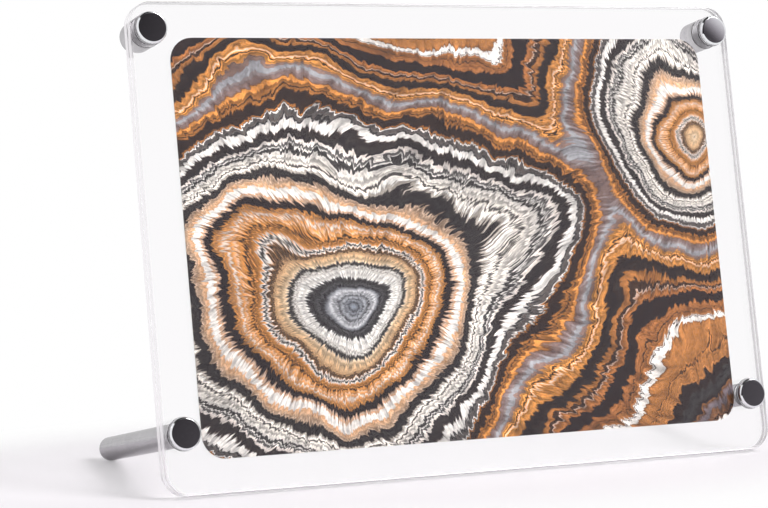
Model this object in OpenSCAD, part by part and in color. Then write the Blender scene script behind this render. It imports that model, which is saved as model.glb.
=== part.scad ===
// Free-standing frame of two clear sheets on four screwed standoffs, with a print between the sheets

/* [Clear sheets] */
// Width of both sheets
panel_w = 254; // [160:1:400]
// Height of both sheets
panel_h = 178; // [110:1:300]
// Thickness of each sheet
panel_t = 3; // [2:0.5:6]
// Radius of the sheets' corners
panel_corner_r = 9; // [4:0.5:12]
// Polished bevel along the sheets' rims
panel_bevel = 0.3; // [0.1:0.1:0.8]

/* [Print] */
// Clear border left and right of the print, where it lies in the middle
side_border = 14.3; // [12:0.1:40]
// Clear border above and below the print, where it lies in the middle
end_border = 12.6; // [8:0.1:40]
// Radius of the print's corners
print_corner_r = 9; // [2:0.5:20]
// Thickness of the print
print_t = 0.3; // [0.1:0.1:1]
// How far the print lies to the right of the sheets' middle
print_right = 0.8; // [-1:0.1:1]
// How far the print lies below the sheets' middle
print_down = 0.4; // [-1:0.1:1]

/* [Standoff places] */
// Distance of every standoff from the nearer side of the sheets
side_inset = 7.5; // [7:0.5:9]
// Distance of the top standoffs from the top of the sheets
top_inset = 10.3; // [7:0.1:30]
// Distance of the bottom standoffs from the bottom of the sheets
bottom_inset = 21.9; // [12:0.1:50]

/* [Caps and washers] */
// Diameter of the caps
cap_d = 11.8; // [9:0.1:13]
// Thickness of the caps
cap_t = 2.5; // [2.2:0.1:8]
// Bevel round the caps' faces
cap_bevel = 0.6; // [0.2:0.1:1.2]
// Diameter of the washers at the caps and the barrels
washer_d = 12.2; // [8:0.1:13]
// Thickness of all washers
washer_t = 0.5; // [0.3:0.1:2]

/* [Barrels and legs] */
// Diameter of the short barrels behind the top corners
barrel_d = 12; // [9:0.1:14]
// Length of the barrels
barrel_l = 9; // [8:0.5:40]
// Diameter of the legs behind the bottom corners
leg_d = 9; // [8:0.1:14]
// Length of the legs
leg_l = 72; // [40:1:120]
// Bevel round the legs' free ends
leg_bevel = 0.8; // [0.3:0.1:1.5]
// Bevel round the other rims of barrels and legs
rim_bevel = 0.3; // [0.1:0.1:0.6]
// Diameter of the washers at the legs
leg_washer_d = 8.8; // [7:0.1:14]

/* [Studs] */
// Diameter of the studs
stud_d = 5; // [3:0.1:6]
// Depth that a stud is screwed into its cap
cap_grip = 1.6; // [1:0.1:1.8]
// Depth that a stud is screwed into its barrel or leg
barrel_grip = 4.8; // [3:0.1:6]
// Room left beyond a stud's end in its bore
bore_spare = 1.6; // [0.5:0.1:1.8]
// Bevel round the studs' ends
stud_bevel = 0.4; // [0.1:0.1:0.8]

/* [Clearances] */
// Radial clearance of a stud in a cap, washer, barrel or leg
stud_fit = 0.05; // [0.02:0.01:0.1]
// Radial clearance of a stud in the sheets
hole_play = 0.3; // [0.1:0.05:0.5]
// Gap between the print and each sheet
print_play = 0.1; // [0.05:0.05:0.5]
// Gap between faces that turn or slide on each other
face_play = 0.05; // [0.02:0.01:0.2]

/* [Hidden] */
$fn = 96;
// Cuts run past the face that they open by this much
overrun = 1;
print_w = panel_w - 2 * side_border;
print_h = panel_h - 2 * end_border;
front_panel_z = panel_t + 2 * print_play + print_t;
stack_t = front_panel_z + panel_t;
front_washer_z = stack_t + face_play;
cap_z = front_washer_z + washer_t + face_play;
cap_front_z = cap_z + cap_t;
leg_end_z = -washer_t - leg_l;
stud_low_z = -washer_t - barrel_grip;
stud_top_z = cap_z + cap_grip;
// The frame rests on the rear sheet's lower rim and the lowest points of both legs' ends
lean = atan((bottom_inset - leg_d / 2) / (washer_t + leg_l - leg_bevel + panel_bevel));
rest_z = panel_bevel * sin(lean);
low_cap_y = bottom_inset - cap_d / 2 + cap_bevel;
high_barrel_y = panel_h - top_inset + barrel_d / 2 - rim_bevel;
high_leg_y = bottom_inset + leg_d / 2 - leg_bevel;
front_y = min(depth(panel_bevel, stack_t), depth(low_cap_y, cap_front_z));
rear_y = max(depth(high_leg_y, leg_end_z), depth(high_barrel_y, -washer_t - barrel_l));
mid_y = (front_y + rear_y) / 2;
side_x = panel_w / 2 - side_inset;
top_y = panel_h - top_inset;
top_corners = [["top_left", -side_x, top_y], ["top_right", side_x, top_y]];
bottom_corners = [["bottom_left", -side_x, bottom_inset], ["bottom_right", side_x, bottom_inset]];
corners = concat(top_corners, bottom_corners);

// How far behind the sheets' lower rear rim a point lies, from its height up the sheet and its place across it
function depth(y, z) = y * sin(lean) - z * cos(lean);

// The sheets' own frame: X to the right, Y up the sheets, Z out of their front, zero at the lower rear rim
module on_sheets() {
    translate([0, -mid_y, -rest_z]) rotate([90 - lean, 0, 0]) children();
}

module at_corner(corner, z) {
    on_sheets() translate([corner[1], corner[2], z]) children();
}

// Outline of a bar's section, bevelled on all four rims
function bevelled_section(w, t, bevel) = [
    [-w / 2 + bevel, 0], [w / 2 - bevel, 0], [w / 2, bevel], [w / 2, t - bevel],
    [w / 2 - bevel, t], [-w / 2 + bevel, t], [-w / 2, t - bevel], [-w / 2, bevel]
];

// A turned rod that stands on z = 0, with its own bevel at each end
module rod(d, length, low_bevel, top_bevel) {
    r = d / 2;
    rotate_extrude() polygon([
        [0, 0], [r - low_bevel, 0], [r, low_bevel], [r, length - top_bevel], [r - top_bevel, length], [0, length]
    ]);
}

// A flat plate with round corners and bevelled rims, standing on y = 0 and z = 0
module plate(w, h, t, corner_r, bevel) {
    translate([0, h / 2, 0]) {
        translate([0, h / 2 - corner_r, 0]) rotate([90, 0, 0])
            linear_extrude(h - 2 * corner_r) polygon(bevelled_section(w, t, bevel));
        translate([corner_r - w / 2, 0, 0]) rotate([90, 0, 90])
            linear_extrude(w - 2 * corner_r) polygon(bevelled_section(h, t, bevel));
        for (x = [corner_r - w / 2, w / 2 - corner_r], y = [corner_r - h / 2, h / 2 - corner_r]) {
            translate([x, y, 0]) rod(2 * corner_r, t, bevel, bevel);
        }
    }
}

module clear_sheet() {
    difference() {
        plate(panel_w, panel_h, panel_t, panel_corner_r, panel_bevel);
        for (corner = corners) {
            translate([corner[1], corner[2], -overrun]) cylinder(r = stud_d / 2 + hole_play, h = panel_t + 2 * overrun);
        }
    }
}

module front_panel() {
    color([0.9, 0.94, 0.95], 0.35) on_sheets() translate([0, 0, front_panel_z]) clear_sheet();
}

module rear_panel() {
    color([0.9, 0.94, 0.95], 0.35) on_sheets() clear_sheet();
}

module photo_print() {
    x = print_w / 2 - print_corner_r;
    low_y = end_border + print_corner_r;
    high_y = end_border + print_h - print_corner_r;
    place = [print_right, -print_down, panel_t + print_play];
    color([0.62, 0.42, 0.28]) on_sheets() translate(place) linear_extrude(print_t) union() {
        translate([-print_w / 2, low_y]) square([print_w, high_y - low_y]);
        translate([-x, end_border]) square([2 * x, print_h]);
        for (corner = [[-x, low_y], [x, low_y], [-x, high_y], [x, high_y]]) {
            translate(corner) circle(r = print_corner_r);
        }
    }
}

module cap(corner) {
    color([0.82, 0.83, 0.85]) at_corner(corner, cap_z) difference() {
        rod(cap_d, cap_t, rim_bevel, cap_bevel);
        translate([0, 0, -overrun]) cylinder(r = stud_d / 2 + stud_fit, h = cap_grip + overrun);
    }
}

module stud(corner) {
    color([0.55, 0.56, 0.58]) at_corner(corner, stud_low_z) rod(stud_d, stud_top_z - stud_low_z, stud_bevel, stud_bevel);
}

module washer(corner, z, d) {
    color([0.62, 0.62, 0.63]) at_corner(corner, z) difference() {
        cylinder(d = d, h = washer_t);
        translate([0, 0, -overrun]) cylinder(r = stud_d / 2 + stud_fit, h = washer_t + 2 * overrun);
    }
}

// A barrel or leg hangs behind its washer, its bore open towards the sheets
module bored_rod(corner, d, length, end_bevel) {
    bore_l = barrel_grip + bore_spare;
    color([0.66, 0.66, 0.67]) at_corner(corner, -washer_t - length) difference() {
        rod(d, length, end_bevel, rim_bevel);
        translate([0, 0, length - bore_l]) cylinder(r = stud_d / 2 + stud_fit, h = bore_l + overrun);
    }
}

front_panel();
rear_panel();
photo_print();
for (corner = corners) {
    cap(corner);
    stud(corner);
    washer(corner, front_washer_z, washer_d);
}
for (corner = top_corners) {
    washer(corner, -washer_t, washer_d);
    bored_rod(corner, barrel_d, barrel_l, rim_bevel);
}
for (corner = bottom_corners) {
    washer(corner, -washer_t, leg_washer_d);
    bored_rod(corner, leg_d, leg_l, leg_bevel);
}
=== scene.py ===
from math import atan, cos, pi, radians, sin

import bmesh
import bpy
from mathutils import Matrix, Vector


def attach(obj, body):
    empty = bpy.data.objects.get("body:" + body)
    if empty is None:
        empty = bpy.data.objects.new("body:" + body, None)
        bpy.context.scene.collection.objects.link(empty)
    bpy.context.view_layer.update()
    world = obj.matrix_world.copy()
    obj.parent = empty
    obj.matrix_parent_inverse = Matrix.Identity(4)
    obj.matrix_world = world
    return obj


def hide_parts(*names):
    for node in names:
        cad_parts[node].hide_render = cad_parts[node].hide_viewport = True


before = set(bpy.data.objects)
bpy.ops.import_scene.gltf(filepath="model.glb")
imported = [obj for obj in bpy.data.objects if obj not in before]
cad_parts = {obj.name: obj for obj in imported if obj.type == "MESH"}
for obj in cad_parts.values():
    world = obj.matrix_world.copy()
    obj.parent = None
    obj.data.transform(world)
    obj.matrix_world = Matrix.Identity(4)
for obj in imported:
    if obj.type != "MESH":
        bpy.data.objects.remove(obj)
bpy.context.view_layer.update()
print("frame loaded")

mm = 0.001

# the pieces' sizes and places are in millimetres, those of the floor, the lamp and the camera in metres;
# a noise is given as its scale, detail and roughness, and a bump as its depth and strength

# how the frame stands: the sheets lean back on the two legs, and rest on the rear sheet's lower rim
stance = {
    "standoffX": 119.5,  # from the sheets' middle to each standoff
    "topY": 167.7,  # from the sheets' lower rim to the top standoffs
    "bottomY": 21.9,  # and to the bottom ones
    "legRadius": 4.5,
    "legReach": 72.0,  # from the rear sheet to the rounded end of a leg
    "midY": 35.1187,  # from the rear sheet's lower rim to halfway between the frame's front and back
    "restZ": 0.07047,  # how far the sheets sink onto their rounded rim
}
lean = atan((stance["bottomY"] - stance["legRadius"]) / stance["legReach"])
leanSin, leanCos = sin(lean), cos(lean)
# the sheets' own frame: X to the right, Y up the sheets, Z out of their front
sheetFrame = Matrix((
    (1, 0, 0, 0),
    (0, leanSin, -leanCos, -stance["midY"] * mm),
    (0, leanCos, leanSin, -stance["restZ"] * mm),
    (0, 0, 0, 1),
))

corners = {
    "top_left": (-stance["standoffX"], stance["topY"]),
    "top_right": (stance["standoffX"], stance["topY"]),
    "bottom_left": (-stance["standoffX"], stance["bottomY"]),
    "bottom_right": (stance["standoffX"], stance["bottomY"]),
}

# what lies on what, from the rear sheet's back forwards
stack = {
    "sheet": 3.0,
    "print": 0.3,
    "washer": 0.5,
    "printPlay": 0.1,  # between the print and each sheet
    "facePlay": 0.05,  # on both sides of each front washer
    "rearGrip": 4.8,  # how deep a stud goes into its barrel or leg
    "boreSpare": 1.6,  # room beyond its end there
    "capGrip": 1.6,  # how deep it goes into its cap
    "studBore": 2.55,  # radius of every bore that a stud goes into
}
printZ = stack["sheet"] + stack["printPlay"]
frontSheetZ = printZ + stack["print"] + stack["printPlay"]
frontWasherZ = frontSheetZ + stack["sheet"] + stack["facePlay"]
capZ = frontWasherZ + stack["washer"] + stack["facePlay"]
studZ = -stack["washer"] - stack["rearGrip"]

flatLimit = 0.999  # a face counts as flat where its normal's Z is above this
noiseSpan = (0.3, 0.7)  # nearly all of a noise lies between these
mixedSpan = (0.35, 0.65)  # and nearly all of two noises mixed


def linear(red, green, blue):
    # a colour as a screen shows it, 0 to 255, in the numbers that a shader takes
    shares = (red / 255, green / 255, blue / 255)
    return tuple(c / 12.92 if c <= 0.04045 else ((c + 0.055) / 1.055) ** 2.4 for c in shares) + (1,)


def plug(tree, value, socket):
    # a link where the value comes from another node, a plain number or colour otherwise
    if isinstance(value, bpy.types.NodeSocket):
        tree.links.new(value, socket)
    else:
        socket.default_value = value


def addNode(tree, kind, inputs=None, **settings):
    node = tree.nodes.new("ShaderNode" + kind)
    for key, value in settings.items():
        setattr(node, key, value)
    for key, value in (inputs or {}).items():
        plug(tree, value, node.inputs[key])
    return node


def calc(tree, operation, first, second=0.0, third=0.0):
    return addNode(tree, "Math", {0: first, 1: second, 2: third}, operation=operation).outputs[0]


def vectorCalc(tree, operation, first, second):
    return addNode(tree, "VectorMath", {0: first, 1: second}, operation=operation).outputs[0]


def scaleVector(tree, vector, factor):
    return addNode(tree, "VectorMath", {0: vector, "Scale": factor}, operation="SCALE").outputs[0]


def lengthOf(tree, vector):
    return addNode(tree, "VectorMath", {0: vector}, operation="LENGTH").outputs["Value"]


def remap(tree, value, fromLow, fromHigh, toLow=0.0, toHigh=1.0, smooth=False):
    return addNode(
        tree, "MapRange", {0: value, 1: fromLow, 2: fromHigh, 3: toLow, 4: toHigh},
        interpolation_type="SMOOTHSTEP" if smooth else "LINEAR",
    ).outputs[0]


def blend(tree, share, first, second):
    return addNode(tree, "Mix", {0: share, 2: first, 3: second}).outputs[0]


def blendColours(tree, share, first, second, mode="MIX"):
    inputs = {0: share, 6: first, 7: second}
    return addNode(tree, "Mix", inputs, data_type="RGBA", blend_type=mode).outputs[2]


def ownPlace(tree):
    # where a point lies in its own piece
    return addNode(tree, "TexCoord").outputs["Object"]


def noise(tree, place, scale, detail, roughness):
    inputs = {"Vector": place, "Scale": scale, "Detail": detail, "Roughness": roughness}
    return addNode(tree, "TexNoise", inputs).outputs[0]


def mixedNoise(tree, first, firstShare, second):
    rest = calc(tree, "MULTIPLY", second, 1 - firstShare)
    return calc(tree, "ADD", calc(tree, "MULTIPLY", first, firstShare), rest)


def greyOf(tree, value):
    return addNode(tree, "CombineColor", {0: value, 1: value, 2: value}).outputs[0]


def colourRamp(tree, value, stops):
    ramp = addNode(tree, "ValToRGB", {0: value})
    elements = ramp.color_ramp.elements
    while len(elements) < len(stops):
        elements.new(1.0)
    for element, (place, colour) in zip(elements, stops):
        element.position = place
        element.color = colour
    return ramp.outputs[0]


def newMaterial(name):
    material = bpy.data.materials.new(name)
    material.use_nodes = True
    tree = material.node_tree
    tree.nodes.clear()
    surface = addNode(tree, "BsdfPrincipled")
    addNode(tree, "OutputMaterial", {"Surface": surface.outputs[0]})
    return material, tree, surface


def showInstead(tree, shader):
    tree.links.new(shader.outputs[0], tree.get_output_node("ALL").inputs["Surface"])


def setSurface(tree, surface, **values):
    for name, value in values.items():
        plug(tree, value, surface.inputs[name.replace("_", " ")])


def addBump(tree, surface, height, depth, strength):
    bump = addNode(tree, "Bump", {"Height": height, "Distance": depth * mm, "Strength": strength})
    tree.links.new(bump.outputs[0], surface.inputs["Normal"])


def softenedProfile(profile, reach, steps=3, closed=False, mostOfSide=0.45):
    # every corner of a profile becomes a short curve that starts and ends `reach` before it
    points = [Vector(p) for p in profile]
    out = []
    for i, corner in enumerate(points):
        if not closed and i in (0, len(points) - 1):
            out.append(corner)
            continue
        before = points[i - 1] - corner
        after = points[(i + 1) % len(points)] - corner
        start = corner + before.normalized() * min(reach, before.length * mostOfSide)
        end = corner + after.normalized() * min(reach, after.length * mostOfSide)
        for s in range(steps + 1):
            t = s / steps
            out.append(start * (1 - t) ** 2 + corner * (2 * t * (1 - t)) + end * t * t)
    return out


def turnedMesh(profile, closed=False, segments=128):
    # points of (radius, height) in millimetres, turned round the Z axis
    bm = bmesh.new()
    turns = [2 * pi * i / segments for i in range(segments)]
    rings = []
    for radius, height in profile:
        if radius == 0:
            points = [(0, 0)]
        else:
            points = [(radius * cos(a), radius * sin(a)) for a in turns]
        rings.append([bm.verts.new((x * mm, y * mm, height * mm)) for x, y in points])
    pairs = list(zip(rings, rings[1:])) + ([(rings[-1], rings[0])] if closed else [])
    for low, high in pairs:
        bridgeRings(bm, low, high, segments)
    return bm


def bridgeRings(bm, low, high, count):
    for i in range(count):
        k = (i + 1) % count
        ring = [low[i % len(low)], low[k % len(low)], high[k % len(high)], high[i % len(high)]]
        face = list(dict.fromkeys(ring))
        if len(face) > 2:
            bm.faces.new(face)


def roundedOutline(width, height, radius, steps):
    # counter-clockwise points of a rectangle with round corners, centred on zero
    points = []
    for quarter, (sx, sy) in enumerate(((1, 1), (-1, 1), (-1, -1), (1, -1))):
        x, y = sx * (width / 2 - radius), sy * (height / 2 - radius)
        for s in range(steps + 1):
            a = (quarter + s / steps) * pi / 2
            points.append((x + radius * cos(a), y + radius * sin(a)))
    return points


def circleOutline(x, y, radius, steps):
    turns = [2 * pi * i / steps for i in range(steps)]
    return [(x + radius * cos(a), y + radius * sin(a)) for a in turns]


def rimProfile(thickness, rim, steps):
    # (inset, height) pairs up a slab's side, with a quarter round at each rim
    turns = [pi / 2 * s / steps for s in range(steps + 1)]
    low = [(rim * (1 - sin(a)), rim * (1 - cos(a))) for a in turns]
    return low + [(inset, thickness - height) for inset, height in reversed(low)]


def slabMesh(slab, holes=()):
    # a plate with round corners, quarter-round rims and round holes, standing on Z = 0
    bm = bmesh.new()
    lowLoops, highLoops = [], []
    profile = rimProfile(slab["thickness"], slab["rim"], slab["rimSteps"])
    for hole in [None, *holes]:
        rings = []
        for inset, height in profile:
            if hole is None:
                outline = roundedOutline(
                    slab["width"] - 2 * inset, slab["height"] - 2 * inset,
                    slab["cornerRadius"] - inset, slab["cornerSteps"])
            else:
                radius = slab["holeRadius"] + inset * slab["holeRimShare"]
                outline = circleOutline(*hole, radius, slab["holeSteps"])
            rings.append([bm.verts.new((x * mm, y * mm, height * mm)) for x, y in outline])
        for low, high in zip(rings, rings[1:]):
            bridgeRings(bm, low, high, len(low))
        lowLoops.append(rings[0])
        highLoops.append(rings[-1])
    for rings in (lowLoops, highLoops):
        edges = [bm.edges.get((ring[i - 1], ring[i])) for ring in rings for i in range(len(ring))]
        bmesh.ops.triangle_fill(bm, edges=edges, use_beauty=True)
    return bm


def addPiece(name, bm, at, body, node, materials, chooseMaterial=None):
    bmesh.ops.recalc_face_normals(bm, faces=bm.faces)
    for face in bm.faces:
        face.smooth = True
        if chooseMaterial:
            face.material_index = chooseMaterial(face)
    mesh = bpy.data.meshes.new(name)
    bm.to_mesh(mesh)
    bm.free()
    for material in materials:
        mesh.materials.append(material)
    piece = bpy.data.objects.new(name, mesh)
    bpy.context.scene.collection.objects.link(piece)
    piece.matrix_world = sheetFrame @ Matrix.Translation(Vector(at) * mm)
    even = piece.modifiers.new("evenNormals", "WEIGHTED_NORMAL")
    even.mode = "FACE_AREA"
    even.keep_sharp = True
    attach(piece, body)
    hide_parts(node)


# clear sheets

clearSheet = {
    "width": 254.0,
    "height": 178.0,
    "thickness": stack["sheet"],
    "cornerRadius": 9.0,
    "cornerSteps": 24,
    "rim": 0.45,
    "rimSteps": 5,
    "holeRadius": 2.8,
    "holeRimShare": 0.5,
    "holeSteps": 64,
    "ior": 1.49,
    "smudgeNoise": (28, 4, 0.6),
    "smudgeLimits": (0.56, 0.75),  # noise where smudges start, and where they are strongest
    "smudge": 0.012,  # roughness of the strongest smudges
    "markNoise": (140, 3, 0.5),  # fine marks along the rims
    "markBump": (0.002, 0.1),
    "rimRoughness": (0.28, 0.34),
    # painted by which way the rims face: those facing down are painted with the table's shade, those facing
    # up are painted a little darker, the others stay pale
    "rimFacingShades": (
        (0.03, linear(185, 182, 185)),
        (0.25, linear(250, 247, 250)),
        (0.75, linear(250, 247, 250)),
        (0.97, linear(205, 202, 205)),
    ),
    "rimTurn": (0.15, 0.7),  # where the flat of a rim ends, and where its edges are fully round
    "rimGloss": (0.6, 0.3),  # along the flat of a rim, and round its edges
    "rimCover": (0.8, 0.35),
    "lowerTurn": (-1.0, -0.8),  # how far down a rim that counts as a lower one faces
    "lowerCover": 0.8,  # share of it along the lower rims
    "rimShadow": 0.7,  # least share of the lamp's light that a rim stops
    "lampTint": (0.815, 0.815, 0.815, 1),  # what each face lets through of the lamp's light
}


def passLamps(tree, surface):
    # lamps shine through the clear sheets instead of stopping at them
    clear = addNode(tree, "BsdfTransparent", {"Color": clearSheet["lampTint"]})
    shadowRay = addNode(tree, "LightPath").outputs["Is Shadow Ray"]
    mix = addNode(tree, "MixShader", {0: shadowRay, 1: surface.outputs[0], 2: clear.outputs[0]})
    showInstead(tree, mix)


def clearAcrylic():
    material, tree, surface = newMaterial("clearAcrylic")
    smudge = noise(tree, ownPlace(tree), *clearSheet["smudgeNoise"])
    rough = remap(tree, smudge, *clearSheet["smudgeLimits"], 0.0, clearSheet["smudge"])
    setSurface(
        tree, surface, Base_Color=(1, 1, 1, 1), Transmission_Weight=1.0, Roughness=rough,
        IOR=clearSheet["ior"])
    passLamps(tree, surface)
    return material


def polishedRim():
    # the rims scatter and mirror most of the light, and let the rest straight through
    material, tree, surface = newMaterial("polishedRim")
    marks = noise(tree, ownPlace(tree), *clearSheet["markNoise"])
    facing = addNode(tree, "SeparateXYZ", {0: addNode(tree, "TexCoord").outputs["Normal"]})
    # painted shade: the tint darkens the rims by which way they face, darkest on the lower rims over the
    # table
    tint = colourRamp(tree, remap(tree, facing.outputs[1], -1.0, 1.0), clearSheet["rimFacingShades"])
    turned = calc(tree, "ABSOLUTE", facing.outputs[2])
    cover = remap(tree, turned, *clearSheet["rimTurn"], *clearSheet["rimCover"])
    lower = remap(tree, facing.outputs[1], *clearSheet["lowerTurn"], clearSheet["lowerCover"], 1.0)
    shadowRay = addNode(tree, "LightPath").outputs["Is Shadow Ray"]
    shadow = calc(tree, "MULTIPLY", shadowRay, clearSheet["rimShadow"])
    alpha = calc(tree, "MAXIMUM", calc(tree, "MULTIPLY", cover, lower), shadow)
    setSurface(
        tree, surface, Base_Color=tint, Alpha=alpha,
        Metallic=remap(tree, turned, *clearSheet["rimTurn"], *clearSheet["rimGloss"]),
        Roughness=remap(tree, marks, *noiseSpan, *clearSheet["rimRoughness"]))
    addBump(tree, surface, marks, *clearSheet["markBump"])
    return material


acrylic = clearAcrylic()
rimFinish = polishedRim()
sheetMiddleY = clearSheet["height"] / 2
sheetHoles = [(x, y - sheetMiddleY) for x, y in corners.values()]


def onSheetFace(face):
    return 0 if abs(face.normal.z) > flatLimit else 1


for name, body, node, z in (
    ("clearSheetFront", "front", "front_panel", frontSheetZ),
    ("clearSheetRear", "stand", "rear_panel", 0.0),
):
    addPiece(
        name, slabMesh(clearSheet, sheetHoles), (0, sheetMiddleY, z), body, node,
        [acrylic, rimFinish], onSheetFace)
print("clear sheets made")


# print between the sheets

photoPrint = {
    "width": 225.4,
    "height": 152.8,
    "thickness": stack["print"],
    "cornerRadius": 9.0,
    "cornerSteps": 24,
    "rim": 0.06,
    "rimSteps": 2,
    "middleX": 0.8,
    "lowY": 12.2,
    # scale, detail and reach of the swirls that bend the bands
    "swirls": ((1.25, 1.0, 0.62), (3.6, 2.0, 0.16), (11.0, 3.0, 0.035)),
    "nearNest": (-0.34, -0.12),  # the middle of each nest of bands, in print heights from the print's middle
    "nearStretch": (0.8, 1.15),
    "farNest": (0.62, 0.3),
    "farStretch": (1.2, 1.0),
    "farStart": 0.16,  # how much further out the far nest's bands start
    "nestJoin": 0.12,  # how softly the bands of both nests run together
    "fibreJoin": (-0.04, 0.04),
    "fibres": 38.0,  # fibres in each radian round a nest
    "fibreTurns": 13.0,  # how often they change on their way out
    "fibreNoise": (1.0, 3.0, 0.65),
    "ragged": 0.045,  # how far the fibres pull at the bands
    # two limits of a noise and the tones there: fine bands, fibres, grain and clouds
    "fineTones": (0.36, 0.64, 0.45, 1.4),
    "fibreTones": (0.34, 0.66, 0.46, 1.4),
    "grainTones": (0.25, 0.75, 0.64, 1.15),
    "cloudTones": (0.3, 0.7, 0.72, 1.2),
    "fineBands": (120, 7.3, 3.0),  # scale, offset and detail
    "bandDetail": 2.0,
    "bandRoughness": 0.6,
    "grainNoise": (95, 4, 0.65),
    "grainBump": (0.01, 0.2),
    "cloudNoise": (1.7, 2, 0.5),
    "roughness": (0.4, 0.5),
    "ior": 1.45,
    "gloss": 0.08,
    # what the bands are tinted with, from a nest's middle outwards
    "zones": (
        (0.00, linear(150, 158, 170)),
        (0.06, linear(206, 206, 210)),
        (0.12, linear(250, 246, 240)),
        (0.17, linear(226, 196, 158)),
        (0.22, linear(206, 138, 68)),
        (0.32, linear(216, 150, 80)),
        (0.38, linear(250, 240, 228)),
        (0.43, linear(246, 240, 234)),
        (0.48, linear(190, 120, 54)),
        (0.60, linear(212, 144, 70)),
        (0.70, linear(150, 92, 48)),
        (0.80, linear(192, 128, 68)),
        (0.90, linear(120, 80, 50)),
        (1.00, linear(150, 100, 58)),
    ),
    # scale, offset, limits, share and colour of the bands laid over them: white and grey, then two of ink
    "paleBands": (
        (24, 31.0, (0.56, 0.62), 0.92, linear(255, 251, 246)),
        (15, 90.0, (0.60, 0.68), 0.7, linear(92, 102, 120)),
    ),
    "inkBands": (
        (20, 55.5, (0.53, 0.57), 0.97, linear(16, 14, 16)),
        (61, 12.5, (0.60, 0.64), 0.9, linear(16, 14, 16)),
    ),
    "paper": linear(244, 243, 240),
    "paperShade": linear(236, 235, 231),
    "paperFibreNoise": (1400, 5, 0.6),
    "paperFibreShare": 0.5,
    "paperCloudNoise": (45, 3, 0.5),
    "paperBump": (0.02, 0.35),
    "paperRoughness": (0.62, 0.78),
}


def stoneWarp(tree):
    # the print's own place, in print heights, bent by slow and quick swirls
    perHeight = (1 / (photoPrint["height"] * mm),) * 3
    scaled = addNode(tree, "Mapping", {"Vector": ownPlace(tree), "Scale": perHeight}).outputs[0]
    bent = scaled
    for scale, detail, reach in photoPrint["swirls"]:
        swirl = addNode(tree, "TexNoise", {"Vector": scaled, "Scale": scale, "Detail": detail})
        centred = vectorCalc(tree, "SUBTRACT", swirl.outputs[1], (0.5, 0.5, 0.5))
        bent = vectorCalc(tree, "ADD", bent, scaleVector(tree, centred, reach))
    flat = vectorCalc(tree, "MULTIPLY", bent, (1, 1, 0))
    return scaled, flat


def stoneNest(tree, flat, middle, stretch):
    # distance from a nest that the bands grow round, and the fibres that radiate from it
    arm = vectorCalc(tree, "MULTIPLY", vectorCalc(tree, "SUBTRACT", flat, (*middle, 0)), (*stretch, 1))
    length = lengthOf(tree, arm)
    heading = addNode(tree, "VectorMath", {0: arm}, operation="NORMALIZE").outputs[0]
    spread = scaleVector(tree, heading, photoPrint["fibres"])
    climb = calc(tree, "MULTIPLY", length, photoPrint["fibreTurns"])
    place = vectorCalc(tree, "ADD", spread, addNode(tree, "CombineXYZ", {2: climb}).outputs[0])
    return length, noise(tree, place, *photoPrint["fibreNoise"])


def stoneDepth(tree, flat):
    # how far a point lies from the nearer of two nests, with its fibres
    nearLength, nearFibres = stoneNest(tree, flat, photoPrint["nearNest"], photoPrint["nearStretch"])
    farLength, farFibres = stoneNest(tree, flat, photoPrint["farNest"], photoPrint["farStretch"])
    farther = calc(tree, "ADD", farLength, photoPrint["farStart"])
    depth = calc(tree, "SMOOTH_MIN", nearLength, farther, photoPrint["nestJoin"])
    nearer = remap(tree, calc(tree, "SUBTRACT", farther, nearLength), *photoPrint["fibreJoin"])
    fibres = blend(tree, nearer, farFibres, nearFibres)
    ragged = calc(tree, "MULTIPLY_ADD", calc(tree, "SUBTRACT", fibres, 0.5), photoPrint["ragged"], depth)
    return ragged, fibres


def bandNoise(tree, depth, scale, offset, detail):
    along = calc(tree, "MULTIPLY_ADD", depth, scale, offset)
    inputs = {"W": along, "Scale": 1.0, "Detail": detail, "Roughness": photoPrint["bandRoughness"]}
    return addNode(tree, "TexNoise", inputs, noise_dimensions="1D").outputs[0]


def layBands(tree, shade, depth, scale, offset, limits, share, colour):
    lines = bandNoise(tree, depth, scale, offset, photoPrint["bandDetail"])
    band = remap(tree, lines, *limits, smooth=True)
    return blendColours(tree, calc(tree, "MULTIPLY", band, share), shade, colour)


def stoneColour(tree, depth, fibres):
    zones = colourRamp(tree, depth, photoPrint["zones"])
    fine = remap(tree, bandNoise(tree, depth, *photoPrint["fineBands"]), *photoPrint["fineTones"])
    shade = blendColours(tree, 1.0, zones, greyOf(tree, fine), "MULTIPLY")
    for bands in photoPrint["paleBands"]:
        shade = layBands(tree, shade, depth, *bands)
    strokes = remap(tree, fibres, *photoPrint["fibreTones"])
    shade = blendColours(tree, 1.0, shade, greyOf(tree, strokes), "MULTIPLY")
    for bands in photoPrint["inkBands"]:
        shade = layBands(tree, shade, depth, *bands)
    return shade


def printedFront():
    material, tree, surface = newMaterial("printedFront")
    scaled, flat = stoneWarp(tree)
    depth, fibres = stoneDepth(tree, flat)
    shade = stoneColour(tree, depth, fibres)
    grain = noise(tree, scaled, *photoPrint["grainNoise"])
    cloud = noise(tree, scaled, *photoPrint["cloudNoise"])
    grainTone = remap(tree, grain, *photoPrint["grainTones"])
    level = calc(tree, "MULTIPLY", grainTone, remap(tree, cloud, *photoPrint["cloudTones"]))
    colour = blendColours(tree, 1.0, shade, greyOf(tree, level), "MULTIPLY")
    rough = remap(tree, grain, *noiseSpan, *photoPrint["roughness"])
    setSurface(
        tree, surface, Base_Color=colour, Roughness=rough, IOR=photoPrint["ior"],
        Specular_IOR_Level=photoPrint["gloss"])
    addBump(tree, surface, grain, *photoPrint["grainBump"])
    return material


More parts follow.
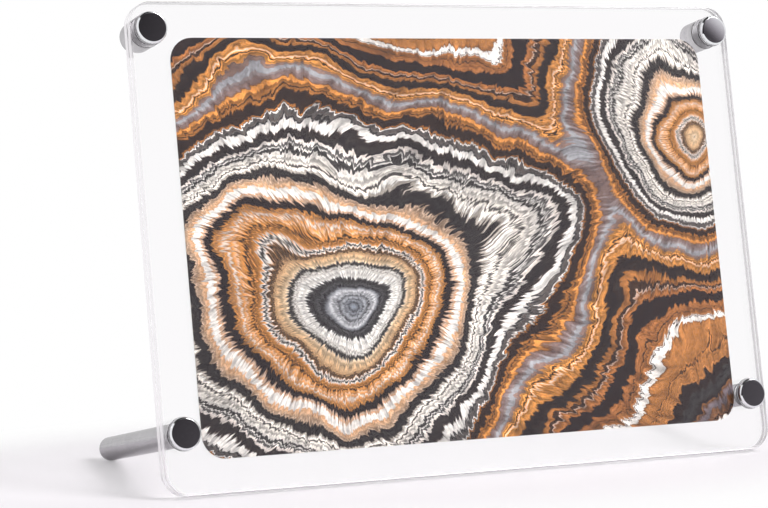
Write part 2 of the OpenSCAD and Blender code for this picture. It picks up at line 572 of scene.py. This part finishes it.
def printBacking():
    material, tree, surface = newMaterial("printBacking")
    place = ownPlace(tree)
    fibre = noise(tree, place, *photoPrint["paperFibreNoise"])
    cloud = noise(tree, place, *photoPrint["paperCloudNoise"])
    tone = mixedNoise(tree, fibre, photoPrint["paperFibreShare"], cloud)
    colour = blendColours(tree, remap(tree, tone, *mixedSpan), photoPrint["paperShade"], photoPrint["paper"])
    rough = remap(tree, fibre, *noiseSpan, *photoPrint["paperRoughness"])
    setSurface(tree, surface, Base_Color=colour, Roughness=rough)
    addBump(tree, surface, fibre, *photoPrint["paperBump"])
    return material


def onPrintFace(face):
    return 0 if face.normal.z > flatLimit else 1


addPiece(
    "printedPhoto", slabMesh(photoPrint),
    (photoPrint["middleX"], photoPrint["lowY"] + photoPrint["height"] / 2, printZ),
    "photo", "photo_print", [printedFront(), printBacking()], onPrintFace)
print("print made")


# metal finishes

# how many lines each metal has along its axis and around it, how deep they are, and how far its tone varies
metal = {
    "chromePlate": {
        "colour": linear(236, 237, 240),
        "roughness": (0.03, 0.07),
        "along": 5000,
        "around": 1.5,
        "depth": 0.001,
        "tones": (0.93, 1.04),
    },
    "capSide": {
        "colour": linear(214, 213, 216),
        "roughness": (0.12, 0.2),
        "along": 300,
        "around": 26,
        "depth": 0.003,
        "tones": (0.84, 1.08),
        "paintedFootShade": (0.4, 0.9, 0.15),  # heights where the painted shade at the cap's foot starts to fade and where it ends, and its tone
    },
    "satinSteel": {
        "colour": linear(198, 196, 199),
        "roughness": (0.14, 0.24),
        "along": 70,
        "around": 24,
        "depth": 0.004,
        "tones": (0.88, 1.07),
    },
    "screwSteel": {
        "colour": linear(170, 171, 174),
        "roughness": (0.22, 0.34),
        "along": 3000,
        "around": 1.5,
        "depth": 0.005,
        "tones": (0.93, 1.04),
    },
}
metalWear = {
    "lineNoise": (1, 3, 0.6),
    "lineShare": 0.6,  # the rest of the wear comes from handling
    "lineStrength": 0.5,
    "handlingNoise": (260, 4, 0.6),
    "grazingTint": linear(216, 216, 216),
}


def finishLines(tree, along, around):
    # fine marks of turning (many along the axis) or of drawing (many around it)
    place = ownPlace(tree)
    split = addNode(tree, "SeparateXYZ", {0: place})
    angle = calc(tree, "ARCTAN2", split.outputs[1], split.outputs[0])
    radius = lengthOf(tree, vectorCalc(tree, "MULTIPLY", place, (1, 1, 0)))
    reach = calc(tree, "ADD", split.outputs[2], radius)
    wrapped = addNode(tree, "CombineXYZ", {
        0: calc(tree, "MULTIPLY", reach, along),
        1: calc(tree, "MULTIPLY", calc(tree, "COSINE", angle), around),
        2: calc(tree, "MULTIPLY", calc(tree, "SINE", angle), around),
    }).outputs[0]
    return noise(tree, wrapped, *metalWear["lineNoise"])


def metalFinish(name):
    finish = metal[name]
    material, tree, surface = newMaterial(name)
    lines = finishLines(tree, finish["along"], finish["around"])
    place = ownPlace(tree)
    handling = noise(tree, place, *metalWear["handlingNoise"])
    worn = mixedNoise(tree, lines, metalWear["lineShare"], handling)
    tone = remap(tree, worn, *mixedSpan, *finish["tones"])
    if "paintedFootShade" in finish:
        # painted shade: a dark band painted low on the cap's side where it meets its washer, standing in for
        # the shadow in the gap there
        low, high, darkness = finish["paintedFootShade"]
        height = addNode(tree, "SeparateXYZ", {0: place}).outputs[2]
        tone = calc(tree, "MULTIPLY", tone, remap(tree, height, low * mm, high * mm, darkness, 1.0))
    colour = blendColours(tree, 1.0, finish["colour"], greyOf(tree, tone), "MULTIPLY")
    setSurface(
        tree, surface, Base_Color=colour, Metallic=1.0, Specular_Tint=metalWear["grazingTint"],
        Roughness=remap(tree, worn, *noiseSpan, *finish["roughness"]))
    addBump(tree, surface, lines, finish["depth"], metalWear["lineStrength"])
    return material


chromePlate = metalFinish("chromePlate")
capSide = metalFinish("capSide")
satinSteel = metalFinish("satinSteel")
screwSteel = metalFinish("screwSteel")


# the washers let a little light through across their faces; their rims are painted near black, painted shade
# for the gaps round the caps and barrels
rubber = {
    "washerFace": {
        "tones": (linear(224, 221, 225), linear(244, 241, 245)),
        "roughness": (0.3, 0.45),
        "clearness": 0.1,
    },
    # painted shade: the rims are painted near black
    "washerRimShade": {
        "tones": (linear(26, 25, 28), linear(48, 47, 50)),
        "roughness": (0.45, 0.65),
        "clearness": 0.0,
    },
}
rubberGrain = {"ior": 1.42, "noise": (2600, 4, 0.6), "span": (0.35, 0.7), "bump": (0.03, 0.4)}


def smokyRubber(name):
    finish = rubber[name]
    material, tree, surface = newMaterial(name)
    grain = noise(tree, ownPlace(tree), *rubberGrain["noise"])
    colour = blendColours(tree, remap(tree, grain, *rubberGrain["span"]), *finish["tones"])
    setSurface(
        tree, surface, Base_Color=colour, Roughness=remap(tree, grain, *noiseSpan, *finish["roughness"]),
        Transmission_Weight=finish["clearness"], IOR=rubberGrain["ior"])
    addBump(tree, surface, grain, *rubberGrain["bump"])
    return material


washerFace = smokyRubber("washerFace")
washerRimShade = smokyRubber("washerRimShade")


# caps, screwed onto the studs in front

screwCap = {
    "radius": 5.9,
    "thickness": 2.5,
    "faceBevel": 0.6,
    "rearBevel": 0.2,
    "crown": 0.09,
    "crownShares": (0.0, 0.15, 0.3, 0.45, 0.6, 0.75, 0.9),  # of the face's radius, where the crown has a ring
    "soften": 0.07,
    "sideLimit": 0.35,  # the side lies where a normal's Z is below this
}


def capMesh():
    c = screwCap
    faceRadius = c["radius"] - c["faceBevel"]
    crown = [(faceRadius * share, c["thickness"] - c["crown"] * share ** 2) for share in c["crownShares"]]
    side = softenedProfile([
        crown[-1],
        (faceRadius, c["thickness"] - c["crown"]),
        (c["radius"], c["thickness"] - c["faceBevel"] - c["crown"]),
        (c["radius"], c["rearBevel"]),
        (c["radius"] - c["rearBevel"], 0.0),
        (stack["studBore"], 0.0),
        (stack["studBore"], stack["capGrip"]),
        (0.0, stack["capGrip"]),
    ], c["soften"])
    return turnedMesh(crown[:-1] + side)


def onCapFace(face):
    return 1 if abs(face.normal.z) < screwCap["sideLimit"] else 0


# studs, threaded all along

threadedStud = {
    "radius": 2.5,
    "pitch": 0.8,
    "threadDepth": 0.45,
    "length": capZ + stack["capGrip"] - studZ,
    "endBevel": 0.4,
    "leastRadius": 0.5,
    "spareTurns": 1.5,  # turns of thread beyond each end, cut off afterwards
    "segments": 48,
    # how far up one pitch a point lies, and how deep it sinks
    "profile": ((0.0, 1.0), (0.12, 1.0), (0.25, 0.8), (0.5, 0.1), (0.56, 0.0), (0.69, 0.0), (0.75, 0.1)),
}


def threadRow(bm, start, sink):
    # points once round the stud, which climb one pitch
    s = threadedStud
    row = []
    for i in range(s["segments"]):
        a = 2 * pi * i / s["segments"]
        z = start + s["pitch"] * i / s["segments"]
        endLimit = s["radius"] - s["endBevel"] + min(z, s["length"] - z)
        radius = max(min(s["radius"] - sink * s["threadDepth"], endLimit), s["leastRadius"])
        row.append(bm.verts.new((radius * cos(a) * mm, radius * sin(a) * mm, z * mm)))
    return row


def cutLevel(bm, height, up):
    everything = bm.verts[:] + bm.edges[:] + bm.faces[:]
    cut = bmesh.ops.bisect_plane(
        bm, geom=everything, plane_co=(0, 0, height * mm), plane_no=(0, 0, up), clear_outer=True)
    edges = [e for e in cut["geom_cut"] if isinstance(e, bmesh.types.BMEdge)]
    bmesh.ops.edgeloop_fill(bm, edges=edges)


def studMesh():
    # a thread that first runs on beyond both ends, which are then cut level
    s = threadedStud
    bm = bmesh.new()
    turns = int(s["length"] / s["pitch"] + 2 * s["spareTurns"])
    rows = [
        threadRow(bm, (turn - s["spareTurns"] + share) * s["pitch"], sink)
        for turn in range(turns) for share, sink in s["profile"]
    ]
    step = len(s["profile"])
    for k in range(len(rows) - 1):
        for i in range(s["segments"]):
            wraps = i + 1 == s["segments"]
            n, shift = (0, step) if wraps else (i + 1, 0)
            if k + 1 + shift < len(rows):
                bm.faces.new((rows[k][i], rows[k + shift][n], rows[k + 1 + shift][n], rows[k + 1][i]))
    cutLevel(bm, 0.0, -1)
    cutLevel(bm, s["length"], 1)
    loose = [v for v in bm.verts if not v.link_faces]
    bmesh.ops.delete(bm, geom=loose, context="VERTS")
    return bm


# rubber washers under the caps and behind the rear sheet

washer = {
    "thickness": stack["washer"],
    "capRadius": 6.1,
    "legRadius": 4.4,
    "soften": 0.14,
    "faceLimit": 0.9,  # its faces lie where a normal's Z is above this
}


def washerMesh(radius):
    hole, thickness = stack["studBore"], washer["thickness"]
    profile = [(hole, 0.0), (radius, 0.0), (radius, thickness), (hole, thickness)]
    return turnedMesh(softenedProfile(profile, washer["soften"], closed=True), closed=True)


def onWasherFace(face):
    return 0 if abs(face.normal.z) > washer["faceLimit"] else 1


# short barrels behind the top corners, legs behind the bottom ones

barrel = {"radius": 6.0, "length": 9.0, "endBevel": 0.3, "rim": 0.3, "soften": 0.08}
leg = {"radius": stance["legRadius"], "length": 72.0, "endBevel": 0.8, "rim": 0.3, "soften": 0.12}
rodBoreDepth = stack["rearGrip"] + stack["boreSpare"]


def rodMesh(rod):
    # the mouth of the bore is at the rod's front end
    return turnedMesh(softenedProfile([
        (0.0, rod["length"] - rodBoreDepth),
        (stack["studBore"], rod["length"] - rodBoreDepth),
        (stack["studBore"], rod["length"]),
        (rod["radius"] - rod["rim"], rod["length"]),
        (rod["radius"], rod["length"] - rod["rim"]),
        (rod["radius"], rod["endBevel"]),
        (rod["radius"] - rod["endBevel"], 0.0),
        (0.0, 0.0),
    ], rod["soften"]))


for corner, (x, y) in corners.items():
    label = corner.title().replace("_", "")
    if corner.startswith("top"):
        rod, rodName, rearRadius = barrel, "barrel", washer["capRadius"]
    else:
        rod, rodName, rearRadius = leg, "leg", washer["legRadius"]
    addPiece(
        "screwCap" + label, capMesh(), (x, y, capZ), "cap_" + corner, "cap_" + corner,
        [chromePlate, capSide], onCapFace)
    addPiece(
        "threadedStud" + label, studMesh(), (x, y, studZ), "cap_" + corner, "stud_" + corner,
        [screwSteel])
    addPiece(
        "frontWasher" + label, washerMesh(washer["capRadius"]), (x, y, frontWasherZ), "washer_" + corner,
        "front_washer_" + corner, [washerFace, washerRimShade], onWasherFace)
    addPiece(
        "rearWasher" + label, washerMesh(rearRadius), (x, y, -washer["thickness"]), "stand",
        "rear_washer_" + corner, [washerFace, washerRimShade], onWasherFace)
    addPiece(
        rodName + label, rodMesh(rod), (x, y, -washer["thickness"] - rod["length"]), "stand",
        rodName + "_" + corner, [satinSteel])
print("standoffs made")


# floor and surroundings

studio = {
    "floorRadius": 3.0,
    "floorSides": 96,
    "floorColour": linear(227, 222, 227),
    "floorNoise": (300, 3, 0.5),
    "floorRoughness": (0.7, 0.85),
    "floorGloss": 0.1,
    "floorGlow": 0.3,
    "mirroredGlow": 0.1,  # the floor's own glow as polished metal shows it
    "clearGlow": 0.75,  # and as the clear sheets show it
    "fadeStretch": (1, 2.5, 1),  # the floor turns white sooner in front and behind
    "fadeStart": 0.17,
    "fadeEnd": 0.32,
    "fill": (0.5, 0.85),  # from the front, and from behind
    "fillSpan": (-0.1, 0.7),  # a direction's Y where it starts to rise, and where it stops
    "openingTint": (1.0, 0.9, 1.0, 1),
    "openingLevel": (0.0271, 0.0967),  # from its upper left to its lower right
    "openingSpan": (-12, 32),  # azimuth less elevation there, in degrees
    "frontAzimuth": (-58, 75),  # the opening's sides, in degrees from straight in front
    "frontElevation": (-5, 60),
    "panelSlant": 0.9,
    "leftOfPanel": (-180, 58.5),  # azimuth + 0.9 of the elevation, up to the bright panel on the right
    "panelSoftness": 7,
    "ceiling": (60, 120),  # elevation
    "ceilingLevel": 0.045,
    "softEdge": 4,
    "keyDirection": (0.542, -0.4545, 0.707),
    "keyAim": (0, 0, 0.08),
    "keyDistance": 2.6,
    "keySize": 1.1,
    "keyPower": 60.5,
}


def floorFinish():
    material, tree, surface = newMaterial("floorPaper")
    place = ownPlace(tree)
    rough = remap(tree, noise(tree, place, *studio["floorNoise"]), *noiseSpan, *studio["floorRoughness"])
    setSurface(
        tree, surface, Base_Color=studio["floorColour"], Roughness=rough,
        Specular_IOR_Level=studio["floorGloss"])
    glow = addNode(tree, "Emission", {"Color": (1, 1, 1, 1), "Strength": 1.0})
    distance = lengthOf(tree, vectorCalc(tree, "MULTIPLY", place, studio["fadeStretch"]))
    path = addNode(tree, "LightPath")
    rays = {0: path.outputs["Is Glossy Ray"], 1: path.outputs["Is Transmission Ray"]}
    mirrored = addNode(tree, "Math", rays, operation="SUBTRACT", use_clamp=True).outputs[0]
    near = blend(tree, mirrored, studio["floorGlow"], studio["mirroredGlow"])
    near = blend(tree, path.outputs["Is Transmission Ray"], near, studio["clearGlow"])
    fade = remap(tree, distance, studio["fadeStart"], studio["fadeEnd"], near, 1.0, smooth=True)
    mix = addNode(tree, "MixShader", {0: fade, 1: surface.outputs[0], 2: glow.outputs[0]})
    showInstead(tree, mix)
    return material


def makeFloor():
    bm = bmesh.new()
    bmesh.ops.create_circle(bm, cap_ends=True, segments=studio["floorSides"], radius=studio["floorRadius"])
    mesh = bpy.data.meshes.new("floor")
    bm.to_mesh(mesh)
    bm.free()
    mesh.materials.append(floorFinish())
    floor = bpy.data.objects.new("floor", mesh)
    bpy.context.scene.collection.objects.link(floor)


def between(tree, value, low, high, soft=studio["softEdge"]):
    # 1 between two angles in degrees, with soft edges
    rise = remap(tree, value, radians(low - soft), radians(low + soft), smooth=True)
    fall = remap(tree, value, radians(high - soft), radians(high + soft), 1.0, 0.0, smooth=True)
    return calc(tree, "MULTIPLY", rise, fall)


def mirroredRoom(tree):
    # what only polished faces show: a dim opening in front, a bright panel on its right and a dark ceiling
    split = addNode(tree, "SeparateXYZ", {0: addNode(tree, "TexCoord").outputs["Generated"]})
    azimuth = calc(tree, "ARCTAN2", split.outputs[0], calc(tree, "MULTIPLY", split.outputs[1], -1.0))
    elevation = calc(tree, "ARCSINE", split.outputs[2])
    slanted = calc(tree, "MULTIPLY_ADD", elevation, studio["panelSlant"], azimuth)
    across = between(tree, azimuth, *studio["frontAzimuth"])
    upward = between(tree, elevation, *studio["frontElevation"])
    leftOfPanel = between(tree, slanted, *studio["leftOfPanel"], studio["panelSoftness"])
    opening = calc(tree, "MULTIPLY", calc(tree, "MULTIPLY", across, upward), leftOfPanel)
    span = [radians(angle) for angle in studio["openingSpan"]]
    dim = remap(tree, calc(tree, "SUBTRACT", azimuth, elevation), *span, *studio["openingLevel"])
    ceiling = between(tree, elevation, *studio["ceiling"])
    return opening, blend(tree, ceiling, blend(tree, opening, 1.0, dim), studio["ceilingLevel"])


def softFill(tree):
    split = addNode(tree, "SeparateXYZ", {0: addNode(tree, "TexCoord").outputs["Generated"]})
    return remap(tree, split.outputs[1], *studio["fillSpan"], *studio["fill"], smooth=True)


def makeSurround():
    # white all round for the camera, and a plain fill for everything that scatters light
    world = bpy.data.worlds.new("studioSurround")
    bpy.context.scene.world = world
    world.use_nodes = True
    world.cycles.sampling_method = "NONE"
    tree = world.node_tree
    tree.nodes.clear()
    opening, mirrored = mirroredRoom(tree)
    fill = softFill(tree)
    path = addNode(tree, "LightPath")
    seen = calc(tree, "MAXIMUM", path.outputs["Is Camera Ray"], path.outputs["Is Transmission Ray"])
    glossy = blend(tree, path.outputs["Is Glossy Ray"], fill, mirrored)
    bounced = calc(tree, "GREATER_THAN", path.outputs["Diffuse Depth"], 0.5)
    strength = blend(tree, bounced, blend(tree, seen, glossy, 1.0), fill)
    tinted = calc(tree, "MULTIPLY", opening, path.outputs["Is Glossy Ray"])
    colour = blendColours(tree, tinted, (1, 1, 1, 1), studio["openingTint"])
    background = addNode(tree, "Background", {"Color": colour, "Strength": strength})
    addNode(tree, "OutputWorld", {"Surface": background.outputs[0]})


def makeKeyLamp():
    lamp = bpy.data.lights.new("keyLamp", "AREA")
    lamp.shape = "DISK"
    lamp.size = studio["keySize"]
    lamp.energy = studio["keyPower"]
    key = bpy.data.objects.new("keyLamp", lamp)
    bpy.context.scene.collection.objects.link(key)
    direction = Vector(studio["keyDirection"]).normalized()
    key.location = direction * studio["keyDistance"] + Vector(studio["keyAim"])
    key.rotation_euler = direction.to_track_quat("Z", "Y").to_euler()
    key.visible_transmission = False
    # the thin print takes the key lamp's light without a shadow of its own on the floor
    group = bpy.data.collections.new("withoutKeyShadow")
    group.objects.link(bpy.data.objects["printedPhoto"])
    group.collection_objects[0].light_linking.link_state = "EXCLUDE"
    key.light_linking.blocker_collection = group


makeFloor()
makeSurround()
makeKeyLamp()
print("studio made")


# camera, where the photograph was taken from

view = {
    "lens": 114.73,
    "sensor": 36.0,
    "eye": (-0.429204, -0.832191, 0.177453),
    "yaw": 25.965,
    "pitch": 6.036,
    "roll": 0.684,
    "nearest": 0.01,
}


def makeCamera():
    data = bpy.data.cameras.new("camera")
    data.lens = view["lens"]
    data.sensor_width = view["sensor"]
    data.sensor_fit = "HORIZONTAL"
    data.clip_start = view["nearest"]
    camera = bpy.data.objects.new("camera", data)
    bpy.context.scene.collection.objects.link(camera)
    camera.matrix_world = (
        Matrix.Translation(view["eye"])
        @ Matrix.Rotation(radians(-view["yaw"]), 4, "Z")
        @ Matrix.Rotation(radians(90 - view["pitch"]), 4, "X")
        @ Matrix.Rotation(radians(view["roll"]), 4, "Z")
    )
    bpy.context.scene.camera = camera


makeCamera()
bpy.context.scene.view_settings.view_transform = "Standard"
print("camera set")
